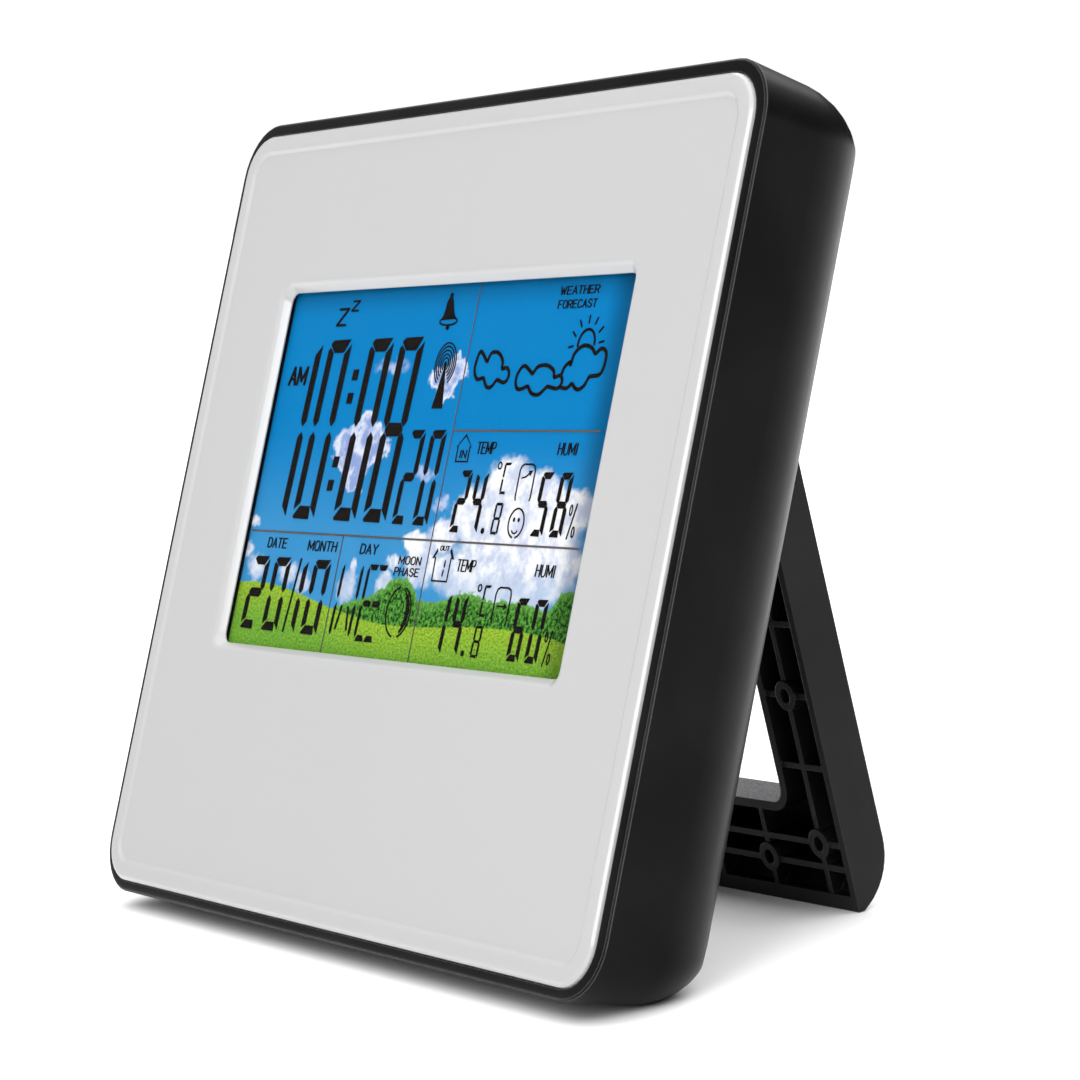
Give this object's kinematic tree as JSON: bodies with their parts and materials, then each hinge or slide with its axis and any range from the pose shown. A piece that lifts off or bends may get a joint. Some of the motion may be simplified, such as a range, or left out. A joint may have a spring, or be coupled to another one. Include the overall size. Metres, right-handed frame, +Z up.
{
  "type": "home weather station",
  "caption": "Desk-top home weather station: colour LCD in a white bevelled panel, rounded black case, fold-out rear stand, keys and battery bay.",
  "frame": {"origin": "centre of the bounding box's bottom, on the table, with the station leaning back on its case edge and open stand", "axes": "+X to the right along the display, +Y from the display towards the stand, +Z up from the table"},
  "size_m": [0.1542, 0.0714, 0.1276],
  "materials": {
    "panel_white": "glossy moulded ABS",
    "case_black": "satin moulded ABS",
    "stand_black": "satin moulded ABS",
    "lens_clear": "clear sheet",
    "lcd_cell": "polariser sheet over glass, lit from behind",
    "film_print": "printed film",
    "guide_clear": "clear acrylic",
    "sheet_white": "white sheet",
    "led_yellow": "cast resin",
    "holder_black": "moulded ABS",
    "zebra_rubber": "silicone rubber",
    "board_green": "solder mask over laminate",
    "resin_black": "cast resin",
    "component_mixed": "moulded components",
    "wire_copper": "bare or enamelled copper",
    "ferrite_dark": "sintered ferrite",
    "sensor_white": "moulded sensor body",
    "cable_grey": "PVC insulation",
    "wire_red": "PVC insulation",
    "wire_black": "PVC insulation",
    "cell_wrap": "plain printed wrap over steel can",
    "contact_steel": "nickel plated spring steel",
    "key_grey": "satin moulded ABS",
    "switch_black": "moulded nylon",
    "flex_amber": "polyimide film",
    "screw_steel": "zinc plated steel"
  },
  "bodies": {
    "case": {"front_panel": "panel_white", "rear_case": "case_black", "display_lens": "lens_clear", "lcd_glass": "lcd_cell", "scenery_film": "film_print", "light_guide": "guide_clear", "reflector_sheet": "sheet_white", "backlight_leds": "led_yellow", "lcd_holder": "holder_black", "zebra_strip": "zebra_rubber", "main_board": "board_green", "chip_cap": "resin_black", "board_parts": "component_mixed", "receiver_board": "board_green", "helical_antenna": "wire_copper", "ferrite_rod": "ferrite_dark", "antenna_coil": "wire_copper", "buzzer": "switch_black", "sensor_board": "board_green", "humidity_sensor": "sensor_white", "sensor_cable": "cable_grey", "battery_cell_1": "cell_wrap", "battery_cell_2": "cell_wrap", "battery_springs": "contact_steel", "contact_plates": "contact_steel", "battery_lead_red": "wire_red", "battery_lead_black": "wire_black", "snooze_switch": "switch_black", "key_board": "board_green", "key_switches": "switch_black", "ribbon_cable": "flex_amber", "housing_screws": "screw_steel", "holder_screws": "screw_steel", "board_screws": "screw_steel", "key_board_screws": "screw_steel"},
    "stand": {"stand": "stand_black"},
    "battery_door": {"battery_door": "case_black"},
    "snooze_bar": {"snooze_bar": "key_grey"},
    "key_1": {"key_1": "key_grey"},
    "key_2": {"key_2": "key_grey"},
    "key_3": {"key_3": "key_grey"},
    "key_4": {"key_4": "key_grey"},
    "key_5": {"key_5": "key_grey"},
    "key_6": {"key_6": "key_grey"}
  },
  "joints": [
    {"name": "stand_hinge", "type": "hinge", "parent": "case", "child": "stand", "pos_m": [0, 0.01995, 0.09327], "axis": [1, 0, 0], "range_deg": [-28.5, 0]},
    {"name": "battery_door_hinge", "type": "hinge", "parent": "case", "child": "battery_door", "pos_m": [0, -0.00314, 0.02212], "axis": [-1, 0, 0], "range_deg": [0, 60]},
    {"name": "snooze_bar_press", "type": "slide", "parent": "case", "child": "snooze_bar", "axis": [0, -0.3453, -0.9385], "range_m": [0, 0.001], "stiffness_N_per_m": 500, "springref_m": -0.001},
    {"name": "key_1_press", "type": "slide", "parent": "case", "child": "key_1", "axis": [0, -0.9385, 0.3453], "range_m": [0, 0.0008], "stiffness_N_per_m": 300, "springref_m": -0.001},
    {"name": "key_2_press", "type": "slide", "parent": "case", "child": "key_2", "axis": [0, -0.9385, 0.3453], "range_m": [0, 0.0008], "stiffness_N_per_m": 300, "springref_m": -0.001},
    {"name": "key_3_press", "type": "slide", "parent": "case", "child": "key_3", "axis": [0, -0.9385, 0.3453], "range_m": [0, 0.0008], "stiffness_N_per_m": 300, "springref_m": -0.001},
    {"name": "key_4_press", "type": "slide", "parent": "case", "child": "key_4", "axis": [0, -0.9385, 0.3453], "range_m": [0, 0.0008], "stiffness_N_per_m": 300, "springref_m": -0.001},
    {"name": "key_5_press", "type": "slide", "parent": "case", "child": "key_5", "axis": [0, -0.9385, 0.3453], "range_m": [0, 0.0008], "stiffness_N_per_m": 300, "springref_m": -0.001},
    {"name": "key_6_press", "type": "slide", "parent": "case", "child": "key_6", "axis": [0, -0.9385, 0.3453], "range_m": [0, 0.0008], "stiffness_N_per_m": 300, "springref_m": -0.001}
  ]
}
